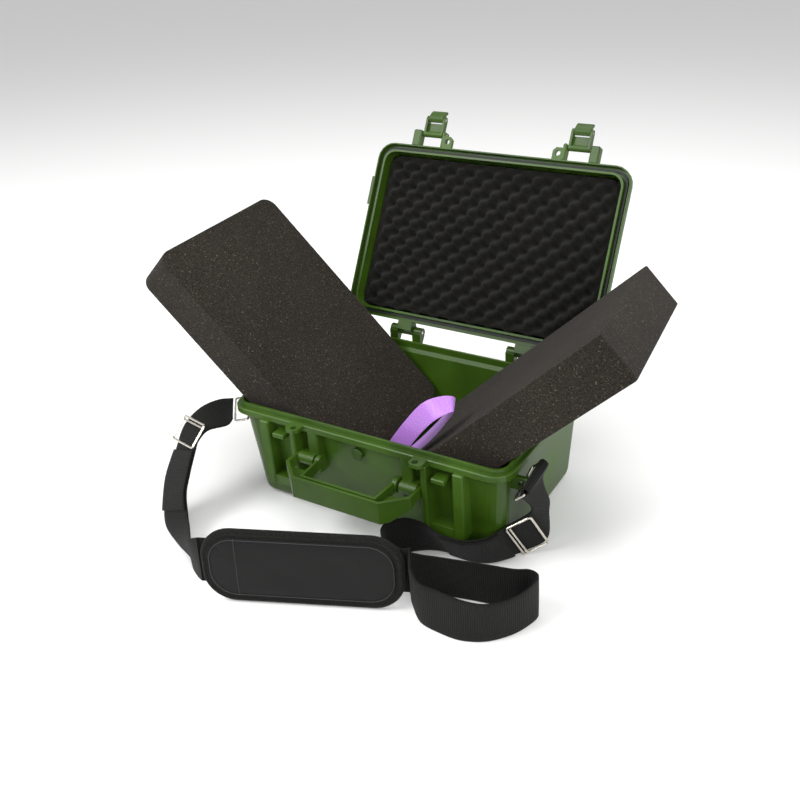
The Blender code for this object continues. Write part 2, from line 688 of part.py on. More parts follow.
# Each ring's plane: its way out from the lug, and the way its strap bar lies
RING_SWING = {"left": ((-0.76, -0.65, 0.0), (0.65, -0.76, 0.0)),
              "right": ((0.75, 0.0, 0.66), (-0.1, 0.99, 0.1))}
# Which station of its strap each buckle sits on, and its distance off the webbing
BUCKLE_LEFT = (3.0, -4.0)
BUCKLE_RIGHT = (25.5, -3.6)


def make_strap_fittings():
    deep, tall = 15.0, 55.0
    buckle_at = {"left": band_place(strap_left(), *BUCKLE_LEFT),
                 "right": band_place(STRAP_RIGHT, *BUCKLE_RIGHT)}
    for side, word in ((-1, "left"), (1, "right")):
        swing, across = (Vector(way) for way in RING_SWING[word])
        hole = Vector((side * RING_HANG[0], *RING_HANG[1:]))
        wire_loop(f"strap_ring_{word}", frame_of(hole + swing * deep / 2, swing, across),
                  deep, tall, RING_WIRE)
        place = buckle_at[word]
        wire_loop(f"strap_buckle_{word}", place, 29.0, 54.0, BUCKLE_WIRE)
        bar = bmesh.new()
        add_rod(bar, (-10.6, 0, -25.2), (-10.6, 0, 25.2), 1.2, 12)
        made = finish(f"strap_buckle_bar_{word}", bar, STEEL, PARTS)
        made.matrix_world = place


def strap_left():
    return [(upper, lower) for lower, upper in STRAP_LEFT]


def strap_behind_pad():
    """Edge pairs of the webbing where it runs behind the pad."""
    pad = pad_place()
    behind = -(PAD[2] / 2 + WEB_THICK / 2 + GAP)
    end = PAD[0] / 2
    pairs = []
    for x in (-end - 5, -end + 6, 0, end - 6, end + 3):
        pairs.append(tuple(tuple(pad @ (Vector((x, y, behind)) * MM) / MM)
                           for y in (WEB_WIDE / 2, -WEB_WIDE / 2)))
    return pairs


def make_strap_webbing():
    whole = strap_left() + strap_behind_pad() + STRAP_RIGHT
    finish("strap_webbing", band(whole, WEB_THICK), WEBBING, PARTS)
    finish("strap_tail_left", band(strap_left(), TAIL_THICK, -TAIL_SHIFT, *TAIL_LEFT),
           WEBBING, PARTS)
    finish("strap_tail_right", band(STRAP_RIGHT, TAIL_THICK, -TAIL_SHIFT, *TAIL_RIGHT),
           WEBBING, PARTS)


RIBBON = [
    ((-14, -72, 7), (8, -74, 7)),
    ((-13, -78, 48), (9, -82, 49)),
    ((4, -84, 80), (26, -88, 79)),
    ((23, -84, 108), (45, -88, 106)),
    ((44, -82, 136), (62, -88, 130)),
    ((67, -80, 160), (78, -86, 149)),
    ((80, -70, 165), (90, -82, 160)),
    ((90, -58, 160), (97, -76, 161)),
    ((80, -52, 146), (90, -72, 148)),
    ((60, -54, 121), (72, -74, 122)),
    ((32, -56, 90), (43, -74, 90)),
    ((-4, -54, 56), (4, -70, 58)),
    ((-8, -52, 30), (0, -70, 30)),
    ((-6, -52, 7), (2, -70, 7))]


def make_ribbon():
    finish("foam_pull_ribbon", band(RIBBON, 0.8), RIBBON_PURPLE, PARTS)


clear_scene()
PARTS = new_collection("telescope_carry_case")
CUTTERS = new_collection("cutters")
GREEN = new_material("case_green_plastic", (0.075, 0.16, 0.02), 0.38)
GREEN_DARK = new_material("valve_green_plastic", (0.05, 0.11, 0.02), 0.5)
FOAM = new_material("charcoal_foam", (0.022, 0.020, 0.019), 0.95)
RUBBER = new_material("black_gasket_rubber", (0.015, 0.017, 0.015), 0.7)
STEEL = new_material("bright_steel", (0.62, 0.60, 0.56), 0.25, 1.0)
WEBBING = new_material("black_webbing", (0.012, 0.012, 0.012), 0.85)
RIBBON_PURPLE = new_material("purple_ribbon", (0.36, 0.15, 0.58), 0.45)

make_base()
make_valve()
make_pins("hinge_pin", (62.2, 107.8), (HINGE_Y, HINGE_Z))
lid_hinge = pivot("lid_hinge_axis", (0, HINGE_Y, HINGE_Z))
make_lid(lid_hinge)
make_gasket(lid_hinge)
make_lid_foam(lid_hinge)
make_latches(lid_hinge)
lid_hinge.rotation_euler.x = -LID_OPEN
make_handle()
make_slabs()
make_ribbon()
make_strap_webbing()
make_pad()
make_strap_fittings()
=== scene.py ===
"""Looks of the telescope carry case: its foam, strap, pad and ribbon, its materials, the light
and the camera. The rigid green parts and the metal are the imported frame's own pieces.

Metres, in the frame's own axes: X along the case, -Y to the front, +Z up, floor at z = 0.
"""

import math

import bpy
from mathutils import Matrix, Vector, noise


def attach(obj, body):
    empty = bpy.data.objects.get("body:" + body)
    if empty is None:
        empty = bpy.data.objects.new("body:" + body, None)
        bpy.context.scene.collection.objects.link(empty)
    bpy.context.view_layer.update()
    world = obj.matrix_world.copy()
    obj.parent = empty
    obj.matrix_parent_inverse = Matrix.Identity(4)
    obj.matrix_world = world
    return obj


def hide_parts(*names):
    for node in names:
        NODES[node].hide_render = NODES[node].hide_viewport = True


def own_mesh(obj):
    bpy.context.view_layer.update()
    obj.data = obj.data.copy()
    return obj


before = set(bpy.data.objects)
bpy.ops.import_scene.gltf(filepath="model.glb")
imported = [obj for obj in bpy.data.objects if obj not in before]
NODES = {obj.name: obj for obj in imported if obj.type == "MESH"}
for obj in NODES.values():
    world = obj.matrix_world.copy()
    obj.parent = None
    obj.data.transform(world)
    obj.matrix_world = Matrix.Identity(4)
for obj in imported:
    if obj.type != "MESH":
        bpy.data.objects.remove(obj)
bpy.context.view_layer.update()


# Colours and node helpers. Noise scales are cells per metre, so 1400 is a grain of 0.7 mm.

def colour(hex_code):
    """An sRGB hex colour as linear red, green, blue and alpha."""
    parts = [int(hex_code[i:i + 2], 16) / 255 for i in (0, 2, 4)]
    linear = [c / 12.92 if c <= 0.04045 else ((c + 0.055) / 1.055) ** 2.4 for c in parts]
    return (*linear, 1.0)


class Look:
    """A material under construction: node() adds a node and links its inputs."""

    def __init__(self, name, roughness, metallic=0.0):
        self.made = bpy.data.materials.new(name)
        self.made.use_nodes = True
        self.tree = self.made.node_tree
        self.shader = self.tree.nodes["Principled BSDF"]
        self.shader.inputs["Roughness"].default_value = roughness
        self.shader.inputs["Metallic"].default_value = metallic
        self.place = self.node("ShaderNodeTexCoord").outputs["Object"]

    def node(self, kind, settings=None, **inputs):
        made = self.tree.nodes.new(kind)
        for key, value in (settings or {}).items():
            setattr(made, key, value)
        for key, value in inputs.items():
            self.put(made.inputs[key.replace("_", " ")], value)
        return made

    def put(self, socket, value):
        if isinstance(value, bpy.types.NodeSocket):
            self.tree.links.new(value, socket)
        else:
            socket.default_value = value

    def stretched(self, source, x, y, z):
        """The coordinates of source, scaled along each axis."""
        return self.node("ShaderNodeMapping", Vector=source, Scale=(x, y, z)).outputs["Vector"]

    def speckle(self, vector, scale, detail=3.0):
        return self.node("ShaderNodeTexNoise", Vector=vector, Scale=scale,
                         Detail=detail).outputs["Fac"]

    def ramp(self, value, low, high, dark, light):
        """dark up to low, light from high, and a blend between."""
        made = self.node("ShaderNodeValToRGB", Fac=value)
        for stop, at, shade in zip(made.color_ramp.elements, (low, high), (dark, light)):
            stop.position = at
            stop.color = colour(shade)
        return made.outputs["Color"]

    def span(self, value, low, high, to_low, to_high):
        made = self.node("ShaderNodeMapRange", Value=value)
        for key, number in (("From Min", low), ("From Max", high), ("To Min", to_low),
                            ("To Max", to_high)):
            made.inputs[key].default_value = number
        return made.outputs["Result"]

    def bump(self, height, strength, distance, normal=None):
        made = self.node("ShaderNodeBump", Height=height, Strength=strength, Distance=distance)
        if normal:
            self.put(made.inputs["Normal"], normal)
        return made.outputs["Normal"]

    def wear(self, **inputs):
        """Sets inputs of the shader by name, with _ for a space."""
        for key, value in inputs.items():
            self.put(self.shader.inputs[key.replace("_", " ")], value)


# Injection-moulded polypropylene, spark-eroded to a fine satin grain: soft highlights that
# break up a little, and rounded edges that catch them
def moulded_green(name, dark, light, roughness):
    look = Look(name, roughness)
    cloud = look.speckle(look.place, 14.0, 4.0)
    grain = look.speckle(look.place, 1400.0, 2.0)
    edge = look.node("ShaderNodeBevel", Radius=0.0007).outputs["Normal"]
    look.wear(Base_Color=look.ramp(cloud, 0.35, 0.68, dark, light),
              Roughness=look.span(cloud, 0.3, 0.7, roughness - 0.05, roughness + 0.07),
              Normal=look.bump(grain, 0.16, 0.0003, edge), Specular_IOR_Level=0.34)
    return look.made


# Cut polyurethane foam: matt charcoal, with open cells about a millimetre across, and light specks
# painted into its colour as glints of cells that catch the light. They are drawn coarser than the
# real ones, so that they show
def cut_foam(name, dark, light, painted_glint_colour):
    look = Look(name, 0.95)
    cells = look.node("ShaderNodeTexVoronoi", Vector=look.place, Scale=900.0).outputs["Distance"]
    tone = look.speckle(look.place, 700.0, 4.0)
    cloud = look.speckle(look.place, 9.0, 3.0)
    base = look.ramp(tone, 0.36, 0.66, dark, light)
    # Painted highlights: light specks added to the base colour, standing for glints off the foam's
    # cells
    painted_glints = look.ramp(look.speckle(look.place, 520.0, 5.0), 0.62, 0.72, "000000", painted_glint_colour)
    mixed = look.node("ShaderNodeMix", {"data_type": "RGBA", "blend_type": "ADD"})
    look.put(mixed.inputs["Factor"], 1.0)
    look.put(mixed.inputs[6], base)
    look.put(mixed.inputs[7], painted_glints)
    shaded = look.node("ShaderNodeHueSaturation", Value=look.span(cloud, 0.3, 0.7, 0.82, 1.15))
    look.put(shaded.inputs["Color"], mixed.outputs[2])
    look.wear(Base_Color=shaded.outputs["Color"], Normal=look.bump(cells, 0.7, 0.0006),
              Sheen_Weight=0.05, Sheen_Roughness=0.6, Specular_IOR_Level=0.08)
    return look.made


# Cellular rubber cord of the lid's seal: dull black with a faint skin
def seal_rubber():
    look = Look("black_gasket_rubber", 0.62)
    tone = look.speckle(look.place, 260.0)
    look.wear(Base_Color=look.ramp(tone, 0.3, 0.7, "0E1210", "1C211E"),
              Normal=look.bump(tone, 0.3, 0.0003))
    return look.made


# Nickel-plated steel wire: bright, with faint drawing marks that blur its reflections
def plated_wire():
    look = Look("bright_steel", 0.22, 1.0)
    marks = look.speckle(look.stretched(look.place, 1.0, 1.0, 8.0), 220.0, 4.0)
    look.wear(Base_Color=look.ramp(marks, 0.3, 0.7, "B9B4A8", "DAD6CC"),
              Roughness=look.span(marks, 0.3, 0.7, 0.16, 0.34),
              Normal=look.bump(marks, 0.12, 0.0002))
    return look.made


# Woven polypropylene webbing: fine ribs across it. Its UV map is in metres, along the strap and
# then across it, and rib and strand are the thread spacings
def woven(name, dark, light, rib, strand, roughness=0.78):
    look = Look(name, roughness)
    along = look.node("ShaderNodeUVMap", {"uv_map": "strip"}).outputs["UV"]
    ribs = look.node("ShaderNodeTexWave", {"bands_direction": "X", "wave_profile": "SIN"},
                     Vector=along, Scale=math.pi / (10 * rib),
                     Distortion=0.4).outputs["Fac"]
    strands = look.node("ShaderNodeTexWave", {"bands_direction": "Y", "wave_profile": "SIN"},
                        Vector=along, Scale=math.pi / (10 * strand), Distortion=0.6).outputs["Fac"]
    weave = look.node("ShaderNodeMath", {"operation": "MULTIPLY"})
    look.put(weave.inputs[0], ribs)
    look.put(weave.inputs[1], look.span(strands, 0.0, 1.0, 0.55, 1.0))
    height = weave.outputs[0]
    fuzz = look.speckle(look.place, 900.0, 3.0)
    look.wear(Base_Color=look.ramp(height, 0.1, 0.85, dark, light),
              Roughness=look.span(fuzz, 0.3, 0.7, roughness - 0.1, roughness + 0.1),
              Normal=look.bump(height, 0.75, 0.0005), Sheen_Weight=0.04,
              Sheen_Roughness=0.5, Specular_IOR_Level=0.16)
    return look.made


# Polyester satin ribbon: a soft sheen, with threads along it
def satin():
    look = Look("purple_ribbon", 0.42)
    along = look.node("ShaderNodeUVMap", {"uv_map": "strip"}).outputs["UV"]
    threads = look.speckle(look.stretched(along, 400.0, 2600.0, 1.0), 1.0, 2.0)
    look.wear(Base_Color=look.ramp(threads, 0.3, 0.7, "8449AB", "B981D4"),
              Normal=look.bump(threads, 0.2, 0.0002), Sheen_Weight=0.3,
              Anisotropic=0.4)
    return look.made


# Knitted nylon cover of the pad's panel: smooth black, with shallow puckers over its foam
def panel_cloth():
    look = Look("pad_panel_cloth", 0.6)
    knit = look.speckle(look.place, 1100.0, 2.0)
    folds = look.speckle(look.place, 30.0, 3.0)
    look.wear(Base_Color=look.ramp(knit, 0.3, 0.7, "050505", "0E0E0D"),
              Normal=look.bump(knit, 0.35, 0.0003, look.bump(folds, 0.25, 0.0012)),
              Sheen_Weight=0.02, Specular_IOR_Level=0.2)
    return look.made


# Coarse nylon mesh tape that binds the pad's rim: black, with a pebbled surface
def binding_tape():
    look = Look("pad_binding_tape", 0.85)
    cells = look.node("ShaderNodeTexVoronoi", Vector=look.place, Scale=560.0).outputs["Distance"]
    look.wear(Base_Color=look.ramp(cells, 0.1, 0.7, "060605", "151513"),
              Normal=look.bump(cells, 0.8, 0.0007), Sheen_Weight=0.04, Specular_IOR_Level=0.15)
    return look.made


# Polyester sewing thread: a shade lighter than the cloth it is sewn through
def seam_thread():
    look = Look("pad_seam_thread", 0.7)
    look.wear(Base_Color=look.ramp(look.speckle(look.place, 1800.0), 0.3, 0.7, "1E1E20", "38383B"))
    return look.made


GREEN = moulded_green("case_green_plastic", "284009", "385511", 0.38)
GREEN_DARK = moulded_green("valve_green_plastic", "1F350A", "2B450E", 0.45)
# The last colour of each foam is the colour of its painted glints, a painted highlight
FOAM = cut_foam("charcoal_foam", "15120F", "302B24", "5C5345")
LID_FOAM = cut_foam("convoluted_foam", "0B0B09", "1B1A16", "151410")
RUBBER = seal_rubber()
STEEL = plated_wire()
WEBBING = woven("black_webbing", "050504", "151513", 0.0022, 0.0016)
RIBBON_CLOTH = satin()
PANEL = panel_cloth()
BINDING = binding_tape()
THREAD = seam_thread()


# The frame's own pieces

def paint(material, *names):
    for name in names:
        slots = NODES[name].data.materials
        slots.clear()
        slots.append(material)


paint(GREEN, "base_shell", "lid_shell", "handle", "latch_link_left", "latch_link_right",
      "latch_lever_left", "latch_lever_right")
paint(GREEN_DARK, "pressure_valve")
paint(FOAM, "foam_slab_left", "foam_slab_right")
paint(LID_FOAM, "lid_foam")
paint(RUBBER, "lid_gasket", "shoulder_pad_panel")
paint(STEEL, "hinge_pin_left", "hinge_pin_right", "latch_pin_left", "latch_pin_right",
      "latch_lever_pin_left", "latch_lever_pin_right", "handle_pin_left", "handle_pin_right",
      "strap_ring_left", "strap_ring_right", "strap_buckle_left", "strap_buckle_right",
      "strap_buckle_bar_left", "strap_buckle_bar_right")
paint(WEBBING, "strap_webbing", "strap_tail_left", "strap_tail_right", "shoulder_pad")
paint(RIBBON_CLOTH, "foam_pull_ribbon")


# Modelling helpers

def clear_selection():
    for other in list(bpy.context.selected_objects):
        other.select_set(False)


def alone(obj):
    """Makes obj the only selected object, and active."""
    clear_selection()
    obj.select_set(True)
    bpy.context.view_layer.objects.active = obj


def added(name, material):
    """Names the primitive that was just added, and gives it its material."""
    obj = bpy.context.object
    alone(obj)
    obj.name = obj.data.name = name
    obj.data.materials.append(material)
    return obj


def modify(obj, kind, **settings):
    alone(obj)
    made = obj.modifiers.new(kind.lower(), kind)
    for key, value in settings.items():
        setattr(made, key, value)
    bpy.ops.object.modifier_apply(modifier=made.name)


def smooth(obj):
    alone(obj)
    bpy.ops.object.shade_smooth()


def bevel_edges(obj, wanted, width, segments):
    """Bevels the edges for which wanted(start, end) is true."""
    alone(obj)
    bpy.ops.object.mode_set(mode="EDIT")
    bpy.ops.mesh.select_mode(type="EDGE")
    bpy.ops.mesh.select_all(action="DESELECT")
    bpy.ops.object.mode_set(mode="OBJECT")
    for edge in obj.data.edges:
        start, end = (obj.data.vertices[i].co for i in edge.vertices)
        edge.select = wanted(start, end)
    bpy.ops.object.mode_set(mode="EDIT")
    bpy.ops.mesh.bevel(offset=width, segments=segments, profile=0.5)
    bpy.ops.object.mode_set(mode="OBJECT")


def set_in_place(obj, place):
    """Moves a piece modelled about the origin to its place, and leaves its transform clear."""
    alone(obj)
    obj.matrix_world = place
    bpy.ops.object.transform_apply(location=True, rotation=True, scale=True)


# Foam slabs: a block of foam cut to size, its four upright corners rounded

SLAB = (0.330, 0.192, 0.0545)


def slab_place(long, normal, middle):
    long, normal = Vector(long).normalized(), Vector(normal)
    normal = (normal - normal.dot(long) * long).normalized()
    turn = Matrix((long, normal.cross(long), normal)).transposed().to_4x4()
    return Matrix.Translation(middle) @ turn


def foam_slab(name, corner, place, body, node):
    """A slab at its place."""
    clear_selection()
    bpy.ops.mesh.primitive_cube_add(size=1.0, scale=SLAB)
    slab = added(name, FOAM)
    bpy.ops.object.transform_apply(location=False, rotation=False, scale=True)
    bevel_edges(slab, lambda a, b: abs(a.z - b.z) > 0.05, corner, 10)
    # The edges round both faces are barely eased, as a foam saw leaves them
    bevel_edges(slab, lambda a, b: abs(a.z - b.z) < 0.001 and abs(a.z) > 0.02, 0.0016, 3)
    set_in_place(slab, place)
    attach(slab, body)
    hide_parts(node)
    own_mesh(slab)


foam_slab("left_foam_slab", 0.0156,
          slab_place((0.682, 0.065, -0.729), (0.731, -0.059, 0.679), (-0.1564, -0.0070, 0.1622)),
          "slab_left", "foam_slab_left")
foam_slab("right_foam_slab", 0.0040,
          slab_place((-0.730, -0.069, -0.680), (-0.678, -0.059, 0.733), (0.1439, 0.0079, 0.1474)),
          "slab_right", "foam_slab_right")


# Convoluted foam in the lid, modelled with the lid shut and swung open with it

HINGE = Vector((0, 0.1264, 0.133))
LID_SWING = (Matrix.Translation(HINGE) @ Matrix.Rotation(math.radians(-118.8), 4, "X")
             @ Matrix.Translation(-HINGE))
PEAKS = (12, 8)                 # peaks along and across the lid
MID_HEIGHT = 0.1346             # of the wavy face, in the shut lid
PEAK_HEIGHT = 0.0074


def lid_foam():
    half_x, half_y, corner = 0.1634, 0.1014, 0.015
    clear_selection()
    bpy.ops.mesh.primitive_grid_add(x_subdivisions=PEAKS[0] * 14, y_subdivisions=PEAKS[1] * 14,
                                    size=2.0)
    foam = added("convoluted_lid_foam", LID_FOAM)
    for vert in foam.data.vertices:
        u, v = vert.co.x, vert.co.y
        wave = math.cos(math.pi * PEAKS[0] * u) * math.cos(math.pi * PEAKS[1] * v)
        edge = min(1.0, 12 * (1 - max(abs(u), abs(v))))
        flat = Vector((u * half_x, v * half_y))
        inner = Vector((math.copysign(half_x - corner, u), math.copysign(half_y - corner, v)))
        if abs(flat.x) > abs(inner.x) and abs(flat.y) > abs(inner.y):
            off = flat - inner
            flat = inner + off * min(1.0, corner / off.length)
        vert.co = (*flat, MID_HEIGHT + PEAK_HEIGHT * edge * wave)
    modify(foam, "SOLIDIFY", thickness=0.007, offset=1.0)
    set_in_place(foam, LID_SWING)
    smooth(foam)
    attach(foam, "lid")
    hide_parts("lid_foam")


lid_foam()


# Strips of webbing and ribbon: pairs of edge points along each

STRAP_LEFT = [
    ((-0.2107, -0.0755, 0.1015), (-0.1783, -0.1135, 0.1015)),
    ((-0.219, -0.093, 0.106), (-0.18, -0.122, 0.097)),
    ((-0.227, -0.1145, 0.104), (-0.187, -0.1445, 0.101)),
    ((-0.236, -0.134, 0.0885), (-0.193, -0.156, 0.0915)),
    ((-0.235, -0.154, 0.0665), (-0.19, -0.166, 0.0835)),
    ((-0.232, -0.175, 0.0445), (-0.1865, -0.1835, 0.0635)),
    ((-0.229, -0.187, 0.0245), (-0.185, -0.194, 0.045)),
    ((-0.221, -0.1995, 0.0075), (-0.175, -0.206, 0.0275)),
    ((-0.205, -0.212, 0.0016), (-0.162, -0.218, 0.0265)),
    ((-0.173, -0.227, 0.0014), (-0.137, -0.241, 0.0315)),
    ((-0.141, -0.24, 0.0018), (-0.12, -0.253, 0.043)),
    ((-0.122, -0.256, 0.008), (-0.112, -0.266, 0.057))]

STRAP_RIGHT = [
    ((0.116, -0.203, 0.061), (0.116, -0.201, 0.011)),
    ((0.13, -0.211, 0.051), (0.13, -0.21, 0.001)),
    ((0.152, -0.213, 0.0505), (0.152, -0.214, 0.0005)),
    ((0.176, -0.214, 0.0505), (0.175, -0.214, 0.0005)),
    ((0.197, -0.211, 0.0505), (0.196, -0.206, 0.0005)),
    ((0.213, -0.201, 0.0505), (0.211, -0.193, 0.0005)),
    ((0.225, -0.181, 0.0505), (0.222, -0.177, 0.0005)),
    ((0.23, -0.16, 0.0505), (0.229, -0.157, 0.0005)),
    ((0.228, -0.15, 0.0505), (0.227, -0.148, 0.0005)),
    ((0.218, -0.147, 0.0505), (0.217, -0.146, 0.0005)),
    ((0.204, -0.153, 0.0505), (0.204, -0.15, 0.0005)),
    ((0.181, -0.158, 0.0505), (0.181, -0.156, 0.0005)),
    ((0.155, -0.164, 0.0505), (0.155, -0.161, 0.0005)),
    ((0.128, -0.17, 0.0505), (0.128, -0.167, 0.0005)),
    ((0.101, -0.176, 0.0505), (0.101, -0.173, 0.0005)),
    ((0.074, -0.173, 0.0505), (0.074, -0.17, 0.0005)),
    ((0.057, -0.163, 0.0505), (0.057, -0.161, 0.0005)),
    ((0.051, -0.15, 0.0505), (0.051, -0.149, 0.0005)),
    ((0.056, -0.138, 0.0505), (0.054, -0.136, 0.0005)),
    ((0.068, -0.129, 0.05), (0.064, -0.123, 0.0005)),
    ((0.088, -0.1285, 0.049), (0.084, -0.1115, 0.002)),
    ((0.108, -0.133, 0.0455), (0.106, -0.107, 0.0028)),
    ((0.135, -0.1315, 0.0458), (0.131, -0.106, 0.0028)),
    ((0.154, -0.122, 0.0475), (0.151, -0.1, 0.0032)),
    ((0.161, -0.1095, 0.0475), (0.1665, -0.085, 0.0036)),
    ((0.1651, -0.0961, 0.0482), (0.1761, -0.0691, 0.0032)),
    ((0.1846, -0.0811, 0.0608), (0.1961, -0.0541, 0.0158)),
    ((0.19, -0.081, 0.069), (0.192, -0.041, 0.041)),
    ((0.19, -0.084, 0.076), (0.191, -0.038, 0.054)),
    ((0.189, -0.093, 0.087), (0.19, -0.046, 0.071)),
    ((0.19, -0.103, 0.098), (0.19, -0.054, 0.093)),
    ((0.1984, -0.1095, 0.108), (0.198, -0.06, 0.113))]

RIBBON = [
    ((-0.014, -0.072, 0.007), (0.008, -0.074, 0.007)),
    ((-0.013, -0.078, 0.048), (0.009, -0.082, 0.049)),
    ((0.004, -0.084, 0.080), (0.026, -0.088, 0.079)),
    ((0.022, -0.084, 0.110), (0.045, -0.088, 0.105)),
    ((0.042, -0.082, 0.139), (0.062, -0.088, 0.129)),
    ((0.062, -0.078, 0.163), (0.079, -0.088, 0.149)),
    ((0.079, -0.068, 0.170), (0.091, -0.082, 0.158)),
    ((0.090, -0.058, 0.166), (0.098, -0.076, 0.160)),
    ((0.080, -0.052, 0.148), (0.090, -0.072, 0.148)),
    ((0.060, -0.054, 0.122), (0.072, -0.074, 0.122)),
    ((0.032, -0.056, 0.090), (0.043, -0.074, 0.090)),
    ((-0.004, -0.054, 0.056), (0.004, -0.070, 0.058)),
    ((-0.008, -0.052, 0.030), (0.000, -0.070, 0.030)),
    ((-0.006, -0.052, 0.007), (0.002, -0.070, 0.007))]
TAIL_SHIFT = 0.0027             # from the strap's middle to its spare length's
PAD = (0.208, 0.084, 0.009)     # length, width and thickness
PAD_PLACE = (Matrix.Translation((0.0103, -0.2358, 0.0426))
             @ Matrix.Rotation(math.radians(21.4), 4, "Z")
             @ Matrix.Rotation(math.radians(85.0), 4, "X"))


def behind_pad():
    """Edge pairs of the webbing where it runs behind the pad."""
    pairs = []
    for x in (-0.109, -0.098, 0, 0.098, 0.107):
        pairs.append(tuple(tuple(PAD_PLACE @ Vector((x, y, -0.0058))) for y in (0.025, -0.025)))
    return pairs


def smooth_path(points, steps):
    """Catmull-Rom through the points, each a tuple of any length."""
    ends = [tuple(2 * a - b for a, b in zip(points[0], points[1])),
            tuple(2 * a - b for a, b in zip(points[-1], points[-2]))]
    padded = [ends[0], *points, ends[1]]
    path = []
    for p0, p1, p2, p3 in zip(padded, padded[1:], padded[2:], padded[3:]):
        for step in range(steps):
            t = step / steps
            path.append(tuple(
                0.5 * (2 * b + (c - a) * t + (2 * a - 5 * b + 4 * c - d) * t * t
                       + (3 * b - a - 3 * c + d) * t ** 3)
                for a, b, c, d in zip(p0, p1, p2, p3)))
    path.append(tuple(points[-1]))
    return path


def strip(name, stations, thick, material, shift=0.0, first=0, last=None, ripple=0.0):
    """A woven strip on its stations. Returns it and the points down its middle."""
    steps = 8
    path = smooth_path([(*one, *other) for one, other in stations], steps)
    rows = []
    for i, here in enumerate(path):
        before, after = path[max(i - 1, 0)], path[min(i + 1, len(path) - 1)]
        one, other = Vector(here[:3]), Vector(here[3:])
        along = sum((Vector(after[k:k + 3]) - Vector(before[k:k + 3]) for k in (0, 3)), Vector())
        rows.append((one, other, along.cross(other - one).normalized()))
    stop = len(rows) if last is None else round(last * steps) + 1
    rows = rows[round(first * steps):stop]
    middles = [(one + other) / 2 for one, other, _ in rows]
    run = [0.0]
    for a, b in zip(middles, middles[1:]):
        run.append(run[-1] + (b - a).length)
    clear_selection()
    bpy.ops.mesh.primitive_grid_add(x_subdivisions=len(rows) - 1, y_subdivisions=8, size=2.0)
    made = added(name, material)
    uv = made.data.uv_layers.active
    uv.name = "strip"
    where = {}
    for vert in made.data.vertices:
        i = round((vert.co.x + 1) / 2 * (len(rows) - 1))
        v = (vert.co.y + 1) / 2
        one, other, out = rows[i]
        wave = ripple * noise.noise(middles[i] * 28 + Vector((0, 0, v * 0.8)))
        where[vert.index] = (run[i], v * (other - one).length)
        vert.co = one.lerp(other, v) + out * (shift + wave)
    for loop in made.data.loops:
        uv.data[loop.index].uv = where[loop.vertex_index]
    modify(made, "SOLIDIFY", thickness=thick, offset=0.0)
    modify(made, "BEVEL", width=thick * 0.3, segments=2, limit_method="ANGLE",
           angle_limit=math.radians(60))
    smooth(made)
    return made, middles


# The right end is turned over the ring's bar and sewn down behind
FOLD_RIGHT = [
    ((0.1995, -0.110, 0.1120), (0.1975, -0.060, 0.1165)),
    ((0.1960, -0.110, 0.1155), (0.1930, -0.060, 0.1190)),
    ((0.1920, -0.110, 0.1115), (0.1890, -0.060, 0.1150)),
    ((0.1905, -0.109, 0.1010), (0.1880, -0.059, 0.1050))]
FROM_LEFT_RING = [(upper, lower) for lower, upper in STRAP_LEFT]
WHOLE_STRAP = FROM_LEFT_RING + behind_pad() + STRAP_RIGHT + FOLD_RIGHT
RIPPLE = 0.0006
webbing, strap_line = strip("shoulder_strap", WHOLE_STRAP, 0.0018, WEBBING, ripple=RIPPLE)
tail_left, _ = strip("spare_webbing_left", FROM_LEFT_RING, 0.0016, WEBBING,
                     -TAIL_SHIFT, 4.0, 6.75, RIPPLE)
tail_right, _ = strip("spare_webbing_right", STRAP_RIGHT, 0.0016, WEBBING,
                      -TAIL_SHIFT, 21.0, 24.25, RIPPLE)
ribbon, ribbon_line = strip("pull_ribbon", RIBBON, 0.0006, RIBBON_CLOTH)


# The shoulder pad, modelled flat about the origin and then stood on its long edge

def outline_point(u, v, half_x, half_y, corner):
    """A point of the square from -1 to 1 spread over a rounded rectangle."""
    flat = Vector((u * half_x, v * half_y))
    inner = Vector((math.copysign(half_x - corner, u), math.copysign(half_y - corner, v)))
    if abs(flat.x) > abs(inner.x) and abs(flat.y) > abs(inner.y):
        off = Vector((abs(flat.x) - abs(inner.x), abs(flat.y) - abs(inner.y))) / corner
        far = max(off)
        off = off * (far / off.length) * corner
        flat = inner + Vector((math.copysign(off.x, u), math.copysign(off.y, v)))
    return flat


def on_square(angle):
    """Where a ray from the middle at that angle leaves the square from -1 to 1."""
    ray = Vector((math.cos(angle), math.sin(angle)))
    return ray / max(abs(ray.x), abs(ray.y))


def pad_layer(name, material, half_x, half_y, corner, low, crown, thick):
    """A crowned layer of the pad. Its upper face rises by crown between rim and middle."""
    clear_selection()
    bpy.ops.mesh.primitive_grid_add(x_subdivisions=90, y_subdivisions=40, size=2.0)
    made = added(name, material)
    for vert in made.data.vertices:
        u, v = vert.co.x, vert.co.y
        rise = (1 - abs(u) ** 6) * (1 - abs(v) ** 4)
        sag = 0.0006 * noise.noise(Vector((u * 3.0, v * 1.4, low * 90)))
        vert.co = (*outline_point(u, v, half_x, half_y, corner),
                   low + crown * rise ** 0.5 + sag * rise)
    modify(made, "SOLIDIFY", thickness=thick, offset=-1.0)
    set_in_place(made, PAD_PLACE)
    smooth(made)
    return made


